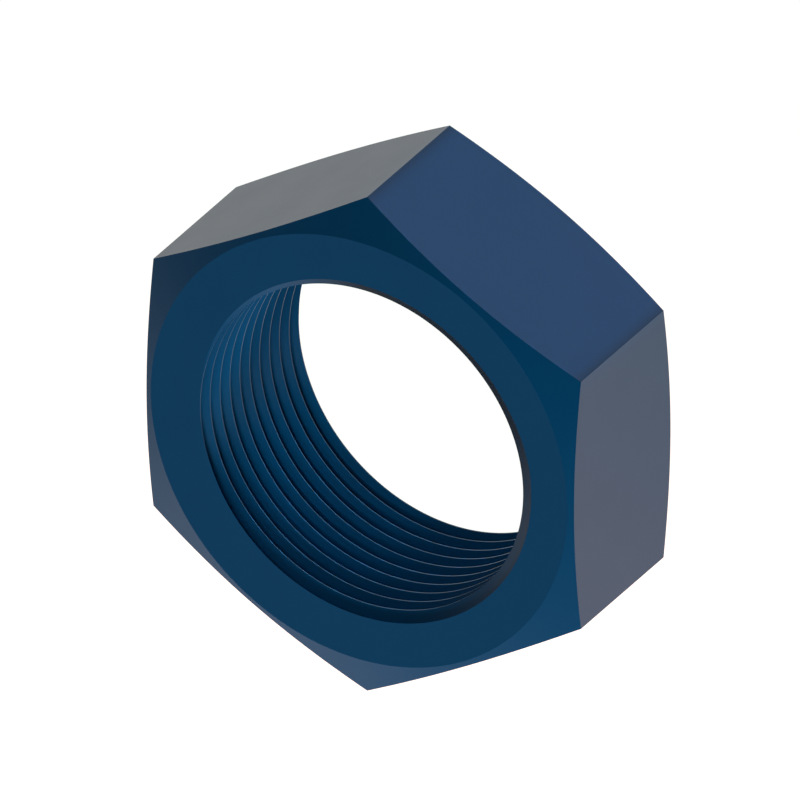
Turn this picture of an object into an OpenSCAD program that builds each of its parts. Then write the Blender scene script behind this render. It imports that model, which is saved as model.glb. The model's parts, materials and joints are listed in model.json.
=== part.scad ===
// Thin hexagon lock nut, chamfered on both ends, with a fine thread right through.
// Millimetres. The nut lies flat on its lower bearing face, with its axis along +Z.
// The origin is the centre of that face, and one corner of the hexagon points along +X.

/* [Hexagon] */
// Spanner size, from one flat to the flat opposite
across_flats = 31.75; // [29:0.05:36]
// Thickness, from one bearing face to the other
height = 12.7; // [6:0.1:24]

/* [Chamfers] */
// How far the edge of a bearing face lies inside the flats
face_inset = 0.4; // [0:0.05:1]
// Slope of the turned chamfers, measured from the bearing face
chamfer_angle = 20; // [15:1:30]

/* [Thread] */
// Nominal diameter of the thread
thread_d = 25.4; // [18:0.1:26]
// Distance from one turn of the thread to the next
thread_pitch = 1.27; // [0.5:0.01:2]

/* [Hidden] */

// Depth of the thread's crests below its nominal diameter, as a share of the pitch
crest_depth_ratio = 0.7;
// The hole is bored to the crests of the thread
bore_d = thread_d - 2 * crest_depth_ratio * thread_pitch;

// Radius out to the corners of the hexagon
corner_r = across_flats / 2 / cos(30);
// Radius of the flat ring of each bearing face
face_r = across_flats / 2 - face_inset;
// The turned blank stands this far outside the corners, so that the chamfers cross them
blank_margin = 1;
blank_r = corner_r + blank_margin;
// Height that a chamfer takes at the rim of the blank
blank_drop = (blank_r - face_r) * tan(chamfer_angle);
// How far the bore's cutter runs past each bearing face
cutter_overrun = 1;
// Facets of a turned surface in a preview
turned_fn = 180;

// Hexagon bar, cut to the thickness of the nut
module hexagon_bar() {
    cylinder(h = height, r = corner_r, $fn = 6);
}

// Turned blank: two flat faces with a cone behind each, which cut the corners of the bar to arcs
module turned_blank() {
    rotate_extrude($fn = turned_fn)
        polygon([
            [0, 0],
            [face_r, 0],
            [blank_r, blank_drop],
            [blank_r, height - blank_drop],
            [face_r, height],
            [0, height]
        ]);
}

// Hole of the thread, open at both faces
module bore() {
    translate([0, 0, -cutter_overrun])
        cylinder(h = height + 2 * cutter_overrun, d = bore_d, $fn = turned_fn);
}

module lock_nut() {
    color("#143c5b")
        difference() {
            intersection() {
                hexagon_bar();
                turned_blank();
            }
            bore();
        }
}

lock_nut();
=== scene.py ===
"""The looks of a thin hexagon lock nut: its body with the true thread, its blue coating and the studio.

Everything is in metres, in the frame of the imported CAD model. The nut lies flat on its lower
bearing face, its axis is +Z, and one corner of the hexagon points along +X.
"""

import json
import logging
import math
from dataclasses import dataclass, field
from enum import Enum

import bpy
from mathutils import Matrix, Vector

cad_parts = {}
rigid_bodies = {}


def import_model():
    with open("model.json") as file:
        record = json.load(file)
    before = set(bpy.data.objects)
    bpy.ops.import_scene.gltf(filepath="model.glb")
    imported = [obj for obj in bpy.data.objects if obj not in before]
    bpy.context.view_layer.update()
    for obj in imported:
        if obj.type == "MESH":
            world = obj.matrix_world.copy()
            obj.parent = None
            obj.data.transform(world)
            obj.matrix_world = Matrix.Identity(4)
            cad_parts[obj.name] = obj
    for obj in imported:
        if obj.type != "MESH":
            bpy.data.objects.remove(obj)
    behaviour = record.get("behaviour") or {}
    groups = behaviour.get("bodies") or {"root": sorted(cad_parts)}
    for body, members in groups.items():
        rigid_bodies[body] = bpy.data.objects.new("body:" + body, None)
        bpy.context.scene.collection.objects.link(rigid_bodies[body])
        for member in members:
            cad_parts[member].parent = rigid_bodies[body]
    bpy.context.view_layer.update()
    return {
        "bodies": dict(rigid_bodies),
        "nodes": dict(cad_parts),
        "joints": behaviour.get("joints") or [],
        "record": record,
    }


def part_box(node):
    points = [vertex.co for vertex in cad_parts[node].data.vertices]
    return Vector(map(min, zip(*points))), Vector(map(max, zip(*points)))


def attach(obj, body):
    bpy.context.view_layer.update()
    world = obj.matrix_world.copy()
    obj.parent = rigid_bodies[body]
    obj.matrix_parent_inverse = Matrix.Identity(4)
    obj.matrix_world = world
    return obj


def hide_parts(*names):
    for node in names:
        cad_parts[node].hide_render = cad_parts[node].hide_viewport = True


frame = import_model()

NODE = "lock_nut"
BODY = "root"
THREAD_MOUNT = "thread"

MILLIMETRE = 0.001
MICROMETRE = 0.000001

Tree = bpy.types.NodeTree
Socket = bpy.types.NodeSocket
Colour = tuple[float, float, float]

BLACK: Colour = (0.0, 0.0, 0.0)
WHITE: Colour = (1.0, 1.0, 1.0)

# Numbers of a Mix node's sockets when it mixes colours, because their names repeat
MIX_FACTOR = 0
MIX_FIRST = 6
MIX_SECOND = 7
MIX_RESULT = 2

log = logging.getLogger("lock_nut")


class Hand(Enum):
    """Which way a thread winds, seen along its axis."""

    RIGHT = 1.0
    LEFT = -1.0


class Outline(Enum):
    """Outline of a light."""

    OVAL = "ELLIPSE"
    OBLONG = "RECTANGLE"


@dataclass(frozen=True)
class Field:
    """A value in a node tree, which an output socket carries.

    Arithmetic on it adds the Math nodes that work the result out.
    """

    tree: Tree
    socket: Socket

    def math(self, operation: str, *others: "Field | float") -> "Field":
        """Adds one Math node.

        Args:
            operation: Blender's name of the operation, such as "ADD".
            others: the second and third operand, where the operation has them.

        Returns:
            The node's result.
        """
        node = self.tree.nodes.new("ShaderNodeMath")
        node.operation = operation
        for socket, value in zip(node.inputs, (self, *others)):
            feed(socket, value)
        return Field(self.tree, node.outputs[0])

    def __add__(self, other: "Field | float") -> "Field":
        """Sum of two values."""
        return self.math("ADD", other)

    def __sub__(self, other: "Field | float") -> "Field":
        """Difference of two values."""
        return self.math("SUBTRACT", other)

    def __mul__(self, other: "Field | float") -> "Field":
        """Product of two values."""
        return self.math("MULTIPLY", other)

    def __truediv__(self, other: "Field | float") -> "Field":
        """Quotient of two values."""
        return self.math("DIVIDE", other)


def feed(socket: Socket, value: object) -> None:
    """Links a field or a socket to an input, or sets the input to a plain value.

    Args:
        socket: the input to fill.
        value: a Field, an output socket, or a value that the input can hold.
    """
    if isinstance(value, Field):
        value = value.socket
    if isinstance(value, bpy.types.NodeSocket):
        socket.node.id_data.links.new(value, socket)
    else:
        socket.default_value = value


def add_node(tree: Tree, kind: str, inputs: dict | None = None, **settings: object) -> bpy.types.Node:
    """Adds a node, sets its properties and fills its inputs.

    Args:
        tree: the tree that gets the node.
        kind: Blender's name of the node type.
        inputs: what goes into each input, by the input's name or number.
        settings: the node's own properties.

    Returns:
        The new node.
    """
    node = tree.nodes.new(kind)
    for name, value in settings.items():
        setattr(node, name, value)
    for key, value in (inputs or {}).items():
        feed(node.inputs[key], value)
    return node


def parts_of(tree: Tree, vector: Socket) -> tuple[Field, Field, Field]:
    """Splits a vector.

    Args:
        tree: the tree that gets the node.
        vector: the vector.

    Returns:
        Its x, y and z.
    """
    node = add_node(tree, "ShaderNodeSeparateXYZ", {"Vector": vector})
    x, y, z = (Field(tree, socket) for socket in node.outputs)
    return x, y, z


def distance_from_axis(x: Field, y: Field) -> Field:
    """How far a point lies from the nut's axis."""
    return (x * x + y * y).math("SQRT")


def opaque(colour: Colour) -> tuple[float, float, float, float]:
    """The colour as a colour socket takes it, with nothing see-through."""
    return (*colour, 1.0)


def blended(tree: Tree, share: Field, first: object, second: object) -> Socket:
    """Mixes two colours.

    Args:
        tree: the tree that gets the node.
        share: 0 for the first colour alone and 1 for the second. Values past these are held.
        first: the first colour, or the output socket that carries it.
        second: the second colour, or the output socket that carries it.

    Returns:
        The mixed colour.
    """
    node = add_node(tree, "ShaderNodeMix", data_type="RGBA", clamp_factor=True)
    feed(node.inputs[MIX_FACTOR], share)
    feed(node.inputs[MIX_FIRST], first)
    feed(node.inputs[MIX_SECOND], second)
    return node.outputs[MIX_RESULT]


def empty_material(name: str) -> bpy.types.Material:
    """Makes a material whose node tree is still empty.

    Args:
        name: the material's name.

    Returns:
        The material.
    """
    material = bpy.data.materials.new(name)
    material.use_nodes = True
    material.node_tree.nodes.clear()
    return material


@dataclass(frozen=True)
class Thread:
    """An internal thread with straight flanks, narrow flat crests and sharp roots."""

    pitch: float = 1.27 * MILLIMETRE
    crest_share: float = 0.07
    flank_half_angle: float = math.radians(30)
    start_angle: float = math.radians(100)
    hand: Hand = Hand.RIGHT

    @property
    def flank_slope(self) -> float:
        """How much a flank deepens for each metre along the axis."""
        return 1 / math.tan(self.flank_half_angle)


@dataclass(frozen=True)
class NutSizes:
    """The sizes that the nut takes from its CAD node."""

    height: float
    apothem: float
    corner_radius: float
    face_radius: float
    chamfer_slope: float
    crest_radius: float

    @classmethod
    def from_frame(cls, loaded: dict) -> "NutSizes":
        """Measures the CAD node and reads the thread's mount.


        Returns:
            The sizes in metres.
        """
        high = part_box(NODE)[1]
        height = high.z
        corner_radius = high.x
        points = [v.co for v in loaded["nodes"][NODE].data.vertices]
        same_height, same_radius = MICROMETRE, 10 * MICROMETRE
        on_top = [p.xy.length for p in points if math.isclose(p.z, height, abs_tol=same_height)]
        at_rim = [p.z for p in points if math.isclose(p.xy.length, corner_radius, abs_tol=same_radius)]
        face_radius = max(on_top)
        mount = next(m for m in loaded["record"]["mounts"] if m["name"] == THREAD_MOUNT)
        return cls(
            height=height,
            apothem=high.y,
            corner_radius=corner_radius,
            face_radius=face_radius,
            chamfer_slope=(height - max(at_rim)) / (corner_radius - face_radius),
            crest_radius=mount["dims"]["r_mm"] * MILLIMETRE,
        )


@dataclass(frozen=True)
class BlueCoating:
    """Smooth dark blue coating, half gloss, thin enough for the tool's marks to show faintly.

    It is painted nearly black where the thread runs out on a bearing face, as the photograph shows:
    this is painted shade, not a colour of the coat. The painted shade's turns are counted back from
    the point where the crest meets that face: the black starts, is full, is still full and ends. A
    surface counts as flat or as turned by how nearly it faces along the axis, where 1 is straight along
    it.
    """

    sizes: NutSizes
    thread: Thread
    colour: Colour = (0.0006, 0.050, 0.127)
    # how far the painted shade mixes the run-out flanks towards black
    run_out_painted_shade: float = 0.9
    painted_shade_turns: tuple[float, float, float, float] = (0.19, 0.28, 0.46, 0.60)
    painted_shade_margin: float = 2.0 * MILLIMETRE
    flat_facing: float = 0.95
    turned_facing: float = 0.8
    roughness: float = 0.33
    roughness_spread: float = 0.03
    ior: float = 1.30
    cloud_size: float = 4.0 * MILLIMETRE
    cloud_depth: float = 0.05
    speckle_size: float = 0.16 * MILLIMETRE
    speckle_height: float = 0.25 * MICROMETRE
    groove_pitch: float = 0.14 * MILLIMETRE
    groove_height: float = 0.12 * MICROMETRE

    def material(self) -> bpy.types.Material:
        """Builds the coating.

        Returns:
            The material, which reads Object coordinates only.
        """
        material = empty_material("half_gloss_blue")
        tree = material.node_tree
        place = add_node(tree, "ShaderNodeTexCoord").outputs["Object"]
        clouds = self._noise(tree, place, self.cloud_size, detail=3.0)
        speckle = self._noise(tree, place, self.speckle_size, detail=1.0)
        # painted shade: the run-out flanks at both mouths are mixed towards black
        painted_shade_share = self._painted_run_out_shade(tree, place) * self.run_out_painted_shade
        surface = add_node(
            tree,
            "ShaderNodeBsdfPrincipled",
            {
                "Base Color": blended(tree, painted_shade_share, self._tinted(tree, clouds), opaque(BLACK)),
                "Roughness": (clouds - 0.5) * (2 * self.roughness_spread) + self.roughness,
                "IOR": self.ior,
                "Normal": self._relief(tree, place, speckle),
            },
        )
        add_node(tree, "ShaderNodeOutputMaterial", {"Surface": surface.outputs["BSDF"]})
        return material

    def _noise(self, tree: Tree, place: Socket, size: float, detail: float) -> Field:
        """Soft noise between 0 and 1.

        Args:
            tree: the material's tree.
            place: the coordinates that the noise is laid on.
            size: how far apart its features lie.
            detail: how many finer layers it has.

        Returns:
            The noise.
        """
        inputs = {"Vector": place, "Scale": 1 / size, "Detail": detail}
        return Field(tree, add_node(tree, "ShaderNodeTexNoise", inputs).outputs["Fac"])

    def _tinted(self, tree: Tree, clouds: Field) -> Socket:
        """The coat's colour, a little deeper where it lies thicker.

        Args:
            tree: the material's tree.
            clouds: noise between 0 and 1.

        Returns:
            The colour.
        """
        red, green, blue = self.colour
        paler, deeper = 1 + self.cloud_depth, 1 - self.cloud_depth
        thin = (red * paler, green * paler, blue * paler)
        thick = (red * deeper, green * deeper, blue * deeper)
        return blended(tree, clouds, opaque(thin), opaque(thick))

    def _painted_run_out_shade(self, tree: Tree, place: Socket) -> Field:
        """Marks where painted shade goes: the flank that opens to each bearing face, along part of the
        thread's last turn.

        Args:
            tree: the material's tree.
            place: Object coordinates.

        Returns:
            1 on those flanks and 0 elsewhere, with both ends soft.
        """
        x, y, z = parts_of(tree, place)
        turn = (y.math("ARCTAN2", x) - self.thread.start_angle) * (self.thread.hand.value / math.tau)
        turned = turn - turn.math("FLOOR")
        lower = self._painted_shade_at_end(z, turned)
        upper = self._painted_shade_at_end(z * -1.0 + self.sizes.height, turned * -1.0 + 1.0)
        sloping = self._facing(tree).math("LESS_THAN", self.flat_facing)
        hole_limit = self.sizes.face_radius - self.painted_shade_margin
        inside = distance_from_axis(x, y).math("LESS_THAN", hole_limit)
        return (lower + upper) * sloping * inside

    def _painted_shade_at_end(self, depth: Field, turns_left: Field) -> Field:
        """Marks the painted shade at one end of the thread.

        Args:
            depth: the distance from the bearing face.
            turns_left: how much of a turn is left until the crest meets that face.

        Returns:
            1 between the last crest and the face, in the middle of the last turn.
        """
        first, full_from, full_to, last = self.painted_shade_turns
        rising = (turns_left - first) / (full_from - first)
        falling = (turns_left * -1.0 + last) / (last - full_to)
        share = rising.math("MINIMUM", falling).math("MAXIMUM", 0.0).math("MINIMUM", 1.0)
        crest_edge = (turns_left - self.thread.crest_share / 2) * self.thread.pitch
        return share * depth.math("LESS_THAN", crest_edge)

    def _relief(self, tree: Tree, place: Socket, speckle: Field) -> Socket:
        """The fine skin of the coat, with the marks of turning on the faces that look along the axis.

        Args:
            tree: the material's tree.
            place: Object coordinates.
            speckle: fine noise between 0 and 1.

        Returns:
            The surface's normal.
        """
        x, y, _ = parts_of(tree, place)
        grooves = (distance_from_axis(x, y) * (math.tau / self.groove_pitch)).math("SINE")
        turned = self._facing(tree).math("GREATER_THAN", self.turned_facing)
        height = speckle * self.speckle_height + grooves * turned * self.groove_height
        bump = add_node(tree, "ShaderNodeBump", {"Height": height, "Distance": 1.0})
        return bump.outputs["Normal"]

    def _facing(self, tree: Tree) -> Field:
        """How nearly the surface faces along the axis, up or down.

        Args:
            tree: the material's tree.

        Returns:
            1 on a bearing face and 0 on a flat of the hexagon.
        """
        normal = add_node(tree, "ShaderNodeNewGeometry").outputs["Normal"]
        _, _, along_axis = parts_of(tree, normal)
        return along_axis.math("ABSOLUTE")


@dataclass
class LockNut:
    """The nut's one piece: hexagon, turned chamfers and the thread right through.

    The number of columns round the axis is a multiple of six, so that each corner has its own.
    """

    sizes: NutSizes
    thread: Thread
    columns: int = 360
    merge_distance: float = 0.5 * MICROMETRE
    sharp_angle: float = math.radians(12)

    def build(self, coating: bpy.types.Material) -> bpy.types.Object:
        """Makes the piece and puts it in the place of its CAD node.

        Args:
            coating: the material of the whole piece.

        Returns:
            The finished object.
        """
        tree = self._tree(coating)
        maker = bpy.data.objects.new("lock_nut_maker", bpy.data.meshes.new("empty"))
        bpy.context.scene.collection.objects.link(maker)
        modifier = maker.modifiers.new("shape", "NODES")
        modifier.node_group = tree
        for name, value in self._inputs().items():
            modifier[tree.interface.items_tree[name].identifier] = value
        depsgraph = bpy.context.evaluated_depsgraph_get()
        mesh = bpy.data.meshes.new_from_object(maker.evaluated_get(depsgraph))
        mesh.name = "lock_nut_body"
        mesh.materials.clear()
        mesh.materials.append(coating)
        mesh.polygons.foreach_set("material_index", [0] * len(mesh.polygons))
        maker.modifiers.remove(modifier)
        bpy.data.objects.remove(maker)
        piece = bpy.data.objects.new("lock_nut_body", mesh)
        bpy.context.scene.collection.objects.link(piece)
        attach(piece, BODY)
        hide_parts(NODE)
        return piece

    def _inputs(self) -> dict[str, float | int]:
        """Lists the named inputs of the node tree.

        Returns:
            Each input's value by its name.
        """
        sizes, thread = self.sizes, self.thread
        return {
            "Height": sizes.height,
            "Apothem": sizes.apothem,
            "Face Radius": sizes.face_radius,
            "Chamfer Slope": sizes.chamfer_slope,
            "Crest Radius": sizes.crest_radius,
            "Pitch": thread.pitch,
            "Crest Share": thread.crest_share,
            "Flank Slope": thread.flank_slope,
            "Start Angle": thread.start_angle,
            "Hand": thread.hand.value,
            "Columns": self.columns,
            "Merge Distance": self.merge_distance,
            "Sharp Angle": self.sharp_angle,
        }

    def _tree(self, coating: bpy.types.Material) -> Tree:
        """Builds the geometry nodes of the nut.

        Args:
            coating: the material that the last node sets.

        Returns:
            The tree.
        """
        tree = bpy.data.node_groups.new("lock_nut_shape", "GeometryNodeTree")
        for name, value in self._inputs().items():
            kind = "NodeSocketInt" if isinstance(value, int) else "NodeSocketFloat"
            tree.interface.new_socket(name, in_out="INPUT", socket_type=kind)
        tree.interface.new_socket("Geometry", in_out="OUTPUT", socket_type="NodeSocketGeometry")
        sockets = tree.nodes.new("NodeGroupInput").outputs
        given = {socket.name: Field(tree, socket) for socket in sockets if socket.name}
        skins = add_node(tree, "GeometryNodeJoinGeometry")
        for skin in (self._outside(tree, given), self._thread_wall(tree, given)):
            tree.links.new(skin, skins.inputs[0])
        merged = add_node(
            tree,
            "GeometryNodeMergeByDistance",
            {"Geometry": skins.outputs[0], "Distance": given["Merge Distance"]},
        )
        smooth = add_node(
            tree,
            "GeometryNodeSetShadeSmooth",
            {"Geometry": merged.outputs[0], "Shade Smooth": True},
            domain="FACE",
        )
        bend = Field(tree, add_node(tree, "GeometryNodeInputMeshEdgeAngle").outputs["Unsigned Angle"])
        crisp = add_node(
            tree,
            "GeometryNodeSetShadeSmooth",
            {
                "Geometry": smooth.outputs[0],
                "Selection": bend.math("GREATER_THAN", given["Sharp Angle"]),
                "Shade Smooth": False,
            },
            domain="EDGE",
        )
        real = add_node(tree, "GeometryNodeRealizeInstances", {"Geometry": crisp.outputs[0]})
        dressed = add_node(
            tree,
            "GeometryNodeSetMaterial",
            {"Geometry": real.outputs[0], "Material": coating},
        )
        add_node(tree, "NodeGroupOutput", {"Geometry": dressed.outputs[0]})
        return tree

    def _sheet(
        self, tree: Tree, given: dict[str, Field], rows: Field | int
    ) -> tuple[Socket, Field, Field]:
        """A sheet that will be wrapped once round the axis, with a column of points for each angle.

        Args:
            tree: the nut's tree.
            given: the tree's named inputs.
            rows: how many points each column has.

        Returns:
            The sheet's geometry, the angle of each point, and its row from 0 upwards.
        """
        grid = add_node(
            tree,
            "GeometryNodeMeshGrid",
            {"Vertices X": given["Columns"] + 1.0, "Vertices Y": rows},
        )
        index = Field(tree, add_node(tree, "GeometryNodeInputIndex").outputs[0])
        column = (index / rows).math("FLOOR")
        row = index - column * rows
        angle = column / given["Columns"] * math.tau
        return grid.outputs["Mesh"], angle, row

    def _wrapped(self, tree: Tree, sheet: Socket, angle: Field, radius: Field, z: Field) -> Socket:
        """Puts a sheet's points at their angle, radius and height.

        Args:
            tree: the nut's tree.
            sheet: the geometry of the sheet.
            angle: the angle of each point round the axis.
            radius: its distance from the axis.
            z: its height.

        Returns:
            The wrapped geometry.
        """
        place = add_node(
            tree,
            "ShaderNodeCombineXYZ",
            {"X": radius * angle.math("COSINE"), "Y": radius * angle.math("SINE"), "Z": z},
        )
        inputs = {"Geometry": sheet, "Position": place.outputs[0]}
        return add_node(tree, "GeometryNodeSetPosition", inputs).outputs[0]

    def _crest_height(self, given: dict[str, Field], angle: Field) -> Field:
        """Height of the middle of the thread's crest at an angle, on the first turn."""
        return (angle - given["Start Angle"]) * given["Hand"] / math.tau * given["Pitch"]

    def _thread_radius(self, given: dict[str, Field], angle: Field, z: Field | float) -> Field:
        """How far the thread's surface lies from the axis at an angle and a height.

        Args:
            given: the tree's named inputs.
            angle: the angle round the axis.
            z: the height.

        Returns:
            The radius: the crest's own, and deeper along the flanks towards the root.
        """
        turns = (self._crest_height(given, angle) * -1.0 + z) / given["Pitch"]
        past_crest = (turns - turns.math("ROUND")).math("ABSOLUTE") - given["Crest Share"] / 2.0
        depth = past_crest.math("MAXIMUM", 0.0) * given["Pitch"] * given["Flank Slope"]
        return given["Crest Radius"] + depth

    def _thread_wall(self, tree: Tree, given: dict[str, Field]) -> Socket:
        """The helical wall of the hole, from one bearing face to the other.

        Each turn has three rows of points: the two edges of its crest and its root. Rows that would
        lie past a bearing face are held on it, where the later merge joins them to one point.

        Args:
            tree: the nut's tree.
            given: the tree's named inputs.

        Returns:
            The wall's geometry.
        """
        rows_per_turn = 3.0
        turns_below = 2.0
        turns_to_spare = 4.0
        turns = (given["Height"] / given["Pitch"]).math("CEIL") + turns_to_spare
        sheet, angle, row = self._sheet(tree, given, turns * rows_per_turn)
        turn = (row / rows_per_turn).math("FLOOR")
        step = row - turn * rows_per_turn
        half_crest = given["Crest Share"] / 2.0
        crest_edge = half_crest * (step * 2.0 - 1.0).math("MINIMUM", 1.0)
        to_root = (step - 1.0).math("MAXIMUM", 0.0) * (half_crest * -1.0 + 0.5)
        offset = (turn - turns_below + crest_edge + to_root) * given["Pitch"]
        free_z = self._crest_height(given, angle) + offset
        z = free_z.math("MAXIMUM", 0.0).math("MINIMUM", given["Height"])
        wall = self._wrapped(tree, sheet, angle, self._thread_radius(given, angle, z), z)
        return add_node(tree, "GeometryNodeFlipFaces", {"Mesh": wall}).outputs["Mesh"]

    def _outside(self, tree: Tree, given: dict[str, Field]) -> Socket:
        """The bearing faces, the chamfers and the flats, as one sheet of six rows of points.

        Args:
            tree: the nut's tree.
            given: the tree's named inputs.

        Returns:
            The geometry of the outside.
        """
        rows = 6
        sheet, angle, row = self._sheet(tree, given, rows)
        height, face_radius = given["Height"], given["Face Radius"]
        from_flat = angle.math("WRAP", math.pi / 3, 0.0) - math.pi / 6
        edge_radius = given["Apothem"] / from_flat.math("COSINE")
        drop = (edge_radius - face_radius) * given["Chamfer Slope"]
        lower_mouth = self._thread_radius(given, angle, 0.0)
        upper_mouth = self._thread_radius(given, angle, height)
        radii = (lower_mouth, face_radius, edge_radius, edge_radius, face_radius, upper_mouth)
        heights = (0.0, 0.0, drop, height - drop, height, height)
        radius = self._by_row(tree, row, radii)
        return self._wrapped(tree, sheet, angle, radius, self._by_row(tree, row, heights))

    def _by_row(self, tree: Tree, row: Field, values: tuple[Field | float, ...]) -> Field:
        """Picks each point's value by its row.

        Args:
            tree: the nut's tree.
            row: the row of each point, from 0.
            values: one value for each row.

        Returns:
            The chosen value.
        """
        switch = add_node(tree, "GeometryNodeIndexSwitch", {"Index": row}, data_type="FLOAT")
        while len(switch.index_switch_items) < len(values):
            switch.index_switch_items.new()
        for socket, value in zip(switch.inputs[1:], values):
            feed(socket, value)
        return Field(tree, switch.outputs[0])


@dataclass(frozen=True)
class SoftLight:
    """A light aimed at one point. It shades the coat; the floor and the room give the reflections."""

    name: str
    azimuth: float
    elevation: float
    strength: float
    target: Vector
    distance: float = 1.2
    size: tuple[float, float] = (0.35, 0.35)
    outline: Outline = Outline.OVAL
    spread: float = math.pi
    colour: Colour = WHITE

    def build(self) -> bpy.types.Object:
        """Adds the light.

        Returns:
            The light's object.
        """
        light = bpy.data.lights.new(self.name, "AREA")
        light.shape = self.outline.value
        light.size, light.size_y = self.size
        light.spread = self.spread
        light.color = self.colour
        light.energy = self.strength * math.pi ** 2 * self.distance ** 2
        lamp = bpy.data.objects.new(self.name, light)
        azimuth, elevation = math.radians(self.azimuth), math.radians(self.elevation)
        level = Vector((math.cos(azimuth), math.sin(azimuth), 0.0)) * math.cos(elevation)
        away = level + Vector((0.0, 0.0, math.sin(elevation)))
        lamp.location = self.target + away * self.distance
        lamp.rotation_euler = away.to_track_quat("Z", "Y").to_euler()
        lamp.visible_glossy = False
        lamp.visible_camera = False
        bpy.context.scene.collection.objects.link(lamp)
        return lamp


@dataclass(frozen=True)
class PaleFloor:
    """A pale floor, lit through from below, so that it stays white and takes no shadow.

    It glows a little warmer on one side of the nut, which shows only in the flats that mirror it.
    """

    width: float = 2.4
    plain_glow: Colour = (1.01, 1.03, 1.004)
    warm_glow: Colour = (1.48, 1.22, 1.14)
    warm_azimuth: float = math.radians(200)
    warm_from: float = -13 * MILLIMETRE
    warm_to: float = 19 * MILLIMETRE
    plain_radius: float = 13 * MILLIMETRE
    below: float = 0.02 * MILLIMETRE

    def build(self) -> bpy.types.Object:
        """Adds the floor under the nut.

        Returns:
            The floor's object.
        """
        half, level = self.width / 2, -self.below
        front = [(-half, -half, level), (half, -half, level)]
        back = [(half, half, level), (-half, half, level)]
        mesh = bpy.data.meshes.new("floor")
        mesh.from_pydata(front + back, [], [(0, 1, 2, 3)])
        mesh.materials.append(self._material())
        floor = bpy.data.objects.new("floor", mesh)
        floor.visible_diffuse = False
        floor.visible_shadow = False
        bpy.context.scene.collection.objects.link(floor)
        return floor

    def _material(self) -> bpy.types.Material:
        """Makes the floor glow: plain within the plain radius, and outside it from plain to warm.

        Returns:
            The floor's material.
        """
        material = empty_material("pale_floor")
        tree = material.node_tree
        place = add_node(tree, "ShaderNodeTexCoord").outputs["Object"]
        x, y, _ = parts_of(tree, place)
        along = x * math.cos(self.warm_azimuth) + y * math.sin(self.warm_azimuth)
        outside = distance_from_axis(x, y).math("GREATER_THAN", self.plain_radius)
        warmth = (along - self.warm_from) / (self.warm_to - self.warm_from) * outside
        colour = blended(tree, warmth, opaque(self.plain_glow), opaque(self.warm_glow))
        glow = add_node(tree, "ShaderNodeEmission", {"Color": colour, "Strength": 1.0})
        add_node(tree, "ShaderNodeOutputMaterial", {"Surface": glow.outputs[0]})
        return material


@dataclass(frozen=True)
class StudioRoom:
    """What the coat mirrors above the floor: pale walls that fade to a dark ceiling, and a wide window.

    The angles are heights above the floor as the nut sees them. The window brightens along its sill
    and darkens along its top, each from the first angle of its pair to the second.
    """

    wall_glow: float = 1.25
    wall_fade: float = 1.5
    wall_top: float = math.radians(34)
    ceiling_glow: float = 0.03
    window_glow: float = 0.44
    window_sill: tuple[float, float] = (math.radians(-28), math.radians(22))
    window_top: tuple[float, float] = (math.radians(50), math.radians(70))
    window_azimuth: float = math.radians(160)

    def build(self) -> bpy.types.World:
        """Makes the world that stands for the room.

        Returns:
            The scene's new world.
        """
        world = bpy.data.worlds.new("studio_room")
        world.use_nodes = True
        tree = world.node_tree
        tree.nodes.clear()
        x, y, z = parts_of(tree, add_node(tree, "ShaderNodeTexCoord").outputs["Generated"])
        elevation = z.math("MAXIMUM", 0.0).math("ARCSINE")
        below_top = (elevation / -self.wall_top + 1.0).math("MAXIMUM", 0.0)
        walls = below_top.math("POWER", self.wall_fade) * self.wall_glow + self.ceiling_glow
        sill_from, sill_to = self.window_sill
        top_from, top_to = self.window_top
        above_sill = (elevation - sill_from) / (sill_to - sill_from)
        under_top = (elevation - top_to) / (top_from - top_to)
        pane = above_sill.math("MINIMUM", under_top).math("MINIMUM", 1.0).math("MAXIMUM", 0.0)
        towards = x * math.cos(self.window_azimuth) + y * math.sin(self.window_azimuth)
        light = walls + pane * towards.math("MAXIMUM", 0.0) * self.window_glow
        inputs = {"Color": opaque(WHITE), "Strength": light}
        backdrop = add_node(tree, "ShaderNodeBackground", inputs)
        add_node(tree, "ShaderNodeOutputWorld", {"Surface": backdrop.outputs[0]})
        world.cycles_visibility.diffuse = False
        bpy.context.scene.world = world
        return world


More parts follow.
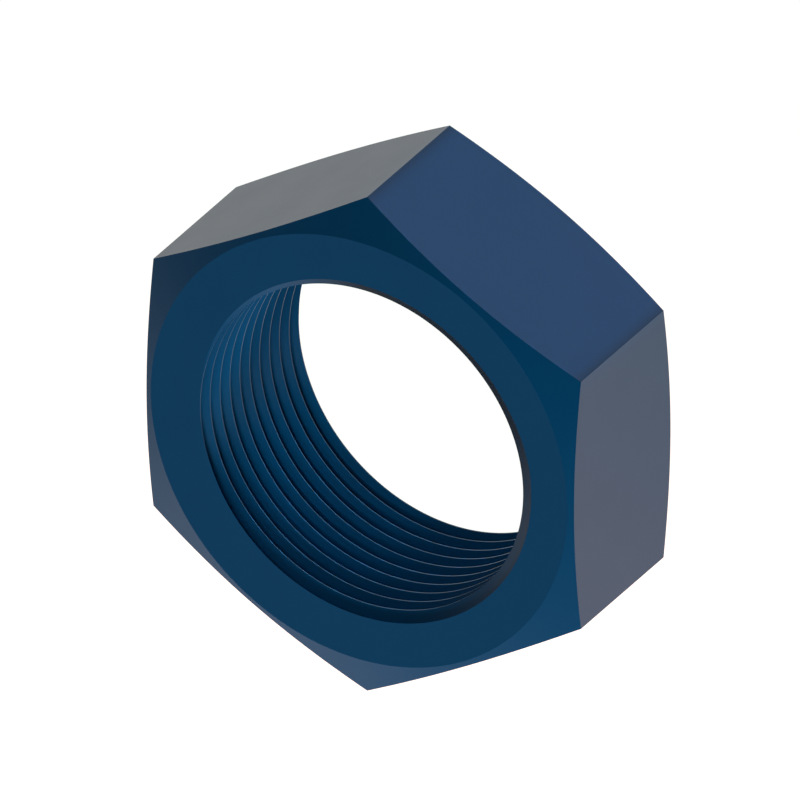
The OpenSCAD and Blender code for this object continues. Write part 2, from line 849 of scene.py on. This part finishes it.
@dataclass
class Studio:
    """The floor, the room and the lights.

    The azimuths and elevations of the lights are in degrees, seen from the nut. The strengths were
    found by fitting the colours of test renders to the photograph's, and then rounded.
    """

    sizes: NutSizes
    floor: PaleFloor = field(default_factory=PaleFloor)
    room: StudioRoom = field(default_factory=StudioRoom)
    hole_light_share: float = 0.91
    hole_light_distance: float = 40 * MILLIMETRE
    hole_light_spread: float = math.radians(5)
    flat_light_azimuth: float = -30.0
    flat_light_elevation: float = -20.0
    flat_light_strength: float = 0.075
    flat_light_size: tuple[float, float] = (18.1 * MILLIMETRE, 15.0 * MILLIMETRE)
    flat_light_distance: float = 30 * MILLIMETRE
    flat_light_spread: float = math.radians(4)
    flat_light_colour: Colour = (0.08, 0.72, 1.0)

    @property
    def lights(self) -> tuple[SoftLight, ...]:
        """The lights: four on the whole nut, two into its hole and one on a single flat.

        Returns:
            All the lights, not yet built.
        """
        middle = Vector((0.0, 0.0, self.sizes.height / 2))
        return (
            SoftLight("left_light", azimuth=210, elevation=24, strength=0.79, target=middle),
            SoftLight("high_left_light", azimuth=240, elevation=56, strength=0.29, target=middle),
            SoftLight("high_right_light", azimuth=330, elevation=56, strength=0.21, target=middle),
            SoftLight("back_light", azimuth=117, elevation=-20, strength=0.50, target=middle),
            self._hole_light("upper_hole_light", azimuth=290, elevation=58, strength=0.0155),
            self._hole_light("lower_hole_light", azimuth=345, elevation=-45, strength=0.068),
            self._flat_light(),
        )

    def _hole_light(self, name: str, azimuth: float, elevation: float, strength: float) -> SoftLight:
        """A narrow light that passes through one mouth of the hole and falls on little else.

        Args:
            name: the light's name.
            azimuth: its direction round the axis, in degrees.
            elevation: its height, in degrees. Below zero it comes in from the lower mouth.
            strength: its strength.

        Returns:
            The light.
        """
        width = 2 * self.hole_light_share * self.sizes.crest_radius
        mouth = Vector((0.0, 0.0, self.sizes.height if elevation > 0 else 0.0))
        return SoftLight(
            name,
            azimuth,
            elevation,
            strength,
            target=mouth,
            distance=self.hole_light_distance,
            size=(width, width * math.sin(math.radians(abs(elevation)))),
            spread=self.hole_light_spread,
        )

    def _flat_light(self) -> SoftLight:
        """A narrow cold light from below on the flat at the picture's upper right.

        Returns:
            The light.
        """
        turn = math.radians(self.flat_light_azimuth)
        outwards = Vector((math.cos(turn), math.sin(turn), 0.0))
        middle = Vector((0.0, 0.0, self.sizes.height / 2))
        return SoftLight(
            "flat_light",
            self.flat_light_azimuth,
            self.flat_light_elevation,
            self.flat_light_strength,
            target=middle + outwards * self.sizes.apothem,
            distance=self.flat_light_distance,
            size=self.flat_light_size,
            outline=Outline.OBLONG,
            spread=self.flat_light_spread,
            colour=self.flat_light_colour,
        )

    def build(self) -> None:
        """Builds everything round the nut, and keeps the picture's colours as they are."""
        self.floor.build()
        self.room.build()
        for light in self.lights:
            light.build()
        bpy.context.scene.view_settings.view_transform = "Standard"


@dataclass(frozen=True)
class PhotoCamera:
    """The photograph's camera: parallel lines stay parallel, seen from the right and from above.

    The photograph shows the nut on edge with a corner up. Here it lies flat, so the camera looks
    down on it from the same side and is rolled by as much as the nut was laid over.
    """

    turn: float = math.radians(30)
    rise: float = math.radians(30)
    image_width_px: float = 800.0
    corner_radius_px: float = 285.08
    nut_centre_px: tuple[float, float] = (408.51, 408.04)
    distance: float = 0.5
    nearest: float = 0.01
    farthest: float = 5.0

    def build(self, centre: Vector, corner_radius: float) -> bpy.types.Object:
        """Adds the camera and makes it the scene's own.

        Args:
            centre: the middle of the nut.
            corner_radius: distance from the nut's axis to its corners.

        Returns:
            The camera's object.
        """
        axis, corner_up, side = Vector((0, 0, 1)), Vector((1, 0, 0)), Vector((0, -1, 0))
        level = axis * math.cos(self.turn) + side * math.sin(self.turn)
        back = level * math.cos(self.rise) + corner_up * math.sin(self.rise)
        right = corner_up.cross(level).normalized()
        up = back.cross(right)
        pixel = corner_radius / self.corner_radius_px
        half = self.image_width_px / 2
        column, row = self.nut_centre_px
        target = centre - right * (column - half) * pixel + up * (row - half) * pixel
        data = bpy.data.cameras.new("photo_camera")
        data.type = "ORTHO"
        data.ortho_scale = self.image_width_px * pixel
        data.clip_start = self.nearest
        data.clip_end = self.farthest
        camera = bpy.data.objects.new("photo_camera", data)
        turned = Matrix((right, up, back)).transposed().to_4x4()
        camera.matrix_world = Matrix.Translation(target + back * self.distance) @ turned
        bpy.context.scene.collection.objects.link(camera)
        bpy.context.scene.camera = camera
        return camera


def main() -> None:
    """Builds the nut, its coating, the studio and the camera, and reports each."""
    logging.basicConfig(level=logging.INFO, format="%(name)s: %(message)s")
    sizes = NutSizes.from_frame(frame)
    log.info("sizes from the frame: %s", sizes)
    thread = Thread()
    coating = BlueCoating(sizes, thread).material()
    nut = LockNut(sizes, thread).build(coating)
    log.info("%s: %d faces", nut.name, len(nut.data.polygons))
    studio = Studio(sizes)
    studio.build()
    log.info("studio: %d lights", len(studio.lights))
    middle = Vector((0.0, 0.0, sizes.height / 2))
    camera = PhotoCamera().build(middle, sizes.corner_radius)
    log.info("%s at %s", camera.name, tuple(round(c, 4) for c in camera.matrix_world.translation))


if __name__ == "__main__":
    main()
